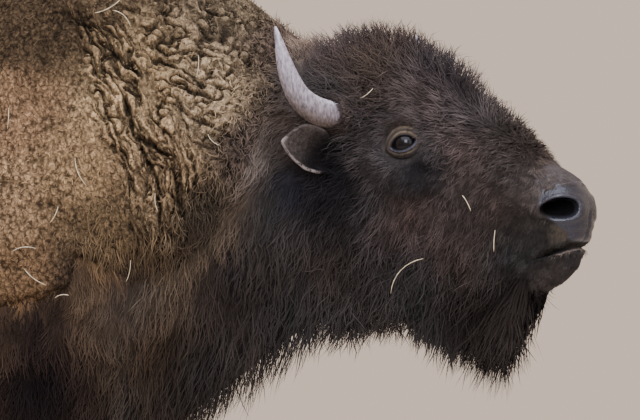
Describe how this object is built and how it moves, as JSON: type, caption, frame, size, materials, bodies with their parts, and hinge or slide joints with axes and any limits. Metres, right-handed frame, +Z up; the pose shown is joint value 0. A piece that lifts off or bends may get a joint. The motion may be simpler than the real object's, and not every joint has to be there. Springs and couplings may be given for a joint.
{
  "type": "american bison",
  "caption": "Life-size American bison cow standing with raised head turned to her right, woolly hump and cape, curved horns, beard and cloven hooves.",
  "frame": {"origin": "on the floor, under the middle of the bounding box", "axes": "+X forward along the body, +Y to the animal's left, +Z up"},
  "size_m": [2.3408, 0.628, 1.62],
  "materials": {
    "cape_wool": "matted golden-brown winter wool, bleached on the hump",
    "mane_wool": "curly brown wool of the neck, darker below",
    "face_hair": "dense dark brown hair",
    "beard_hair": "long black-brown hair",
    "body_hair": "short brown hair",
    "leg_hair": "short black-brown hair",
    "eye": "wet dark brown eye",
    "horn": "smooth grey horn, finely grooved, paler to the tip",
    "hoof": "dull black horn"
  },
  "bodies": {
    "root": {"trunk": "cape_wool", "neck": "mane_wool", "head": "face_hair", "beard": "beard_hair", "tail": "body_hair", "tail_tuft": "beard_hair", "eye_right": "eye", "ear_right": "face_hair", "horn_right": "horn", "eye_left": "eye", "ear_left": "face_hair", "horn_left": "horn", "foreleg_right": "leg_hair", "hoof_foreleg_right_outer": "hoof", "hoof_foreleg_right_inner": "hoof", "foreleg_left": "leg_hair", "hoof_foreleg_left_outer": "hoof", "hoof_foreleg_left_inner": "hoof", "hindleg_right": "leg_hair", "hoof_hindleg_right_outer": "hoof", "hoof_hindleg_right_inner": "hoof", "hindleg_left": "leg_hair", "hoof_hindleg_left_outer": "hoof", "hoof_hindleg_left_inner": "hoof"}
  },
  "joints": []
}
